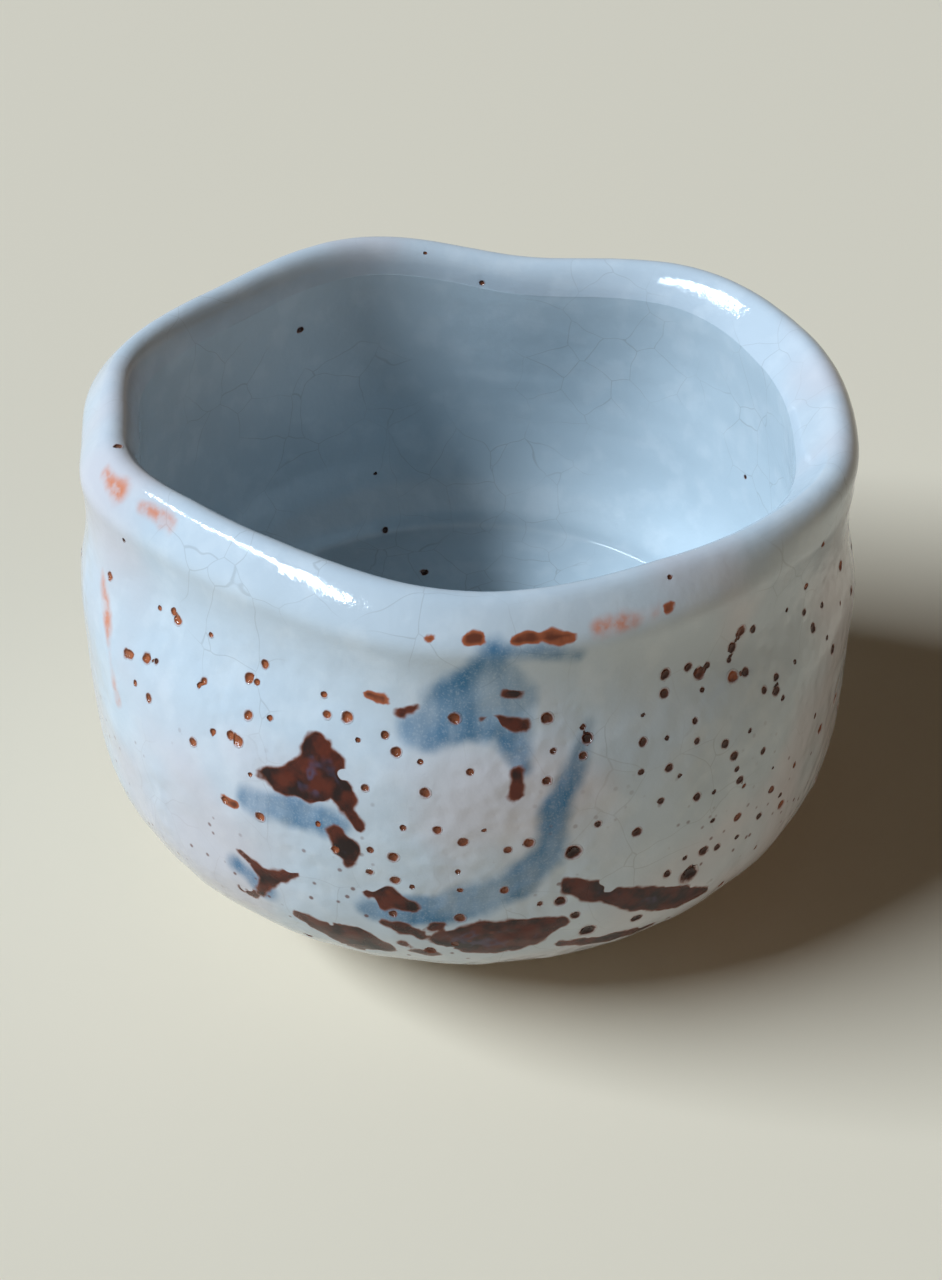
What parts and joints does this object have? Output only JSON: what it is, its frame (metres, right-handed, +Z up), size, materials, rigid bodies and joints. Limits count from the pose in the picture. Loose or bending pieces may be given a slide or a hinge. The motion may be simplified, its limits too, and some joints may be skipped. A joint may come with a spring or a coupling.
{
  "type": "tea bowl",
  "caption": "Hand-pressed stoneware tea bowl with a thick uneven lip, upright wall, round haunch and luted foot ring, coated in white glaze inside and out.",
  "frame": {"origin": "middle of the bowl's box, on the plane it stands on", "axes": "+Z up out of the mouth; -Y towards the picture's camera, +X to the picture's right"},
  "size_m": [0.1272, 0.1274, 0.0837],
  "materials": {
    "stoneware": "matte",
    "white_glaze": "gloss"
  },
  "bodies": {
    "root": {"clay_body": "stoneware", "foot_ring": "stoneware", "outer_glaze": "white_glaze", "inner_glaze": "white_glaze"}
  },
  "joints": []
}
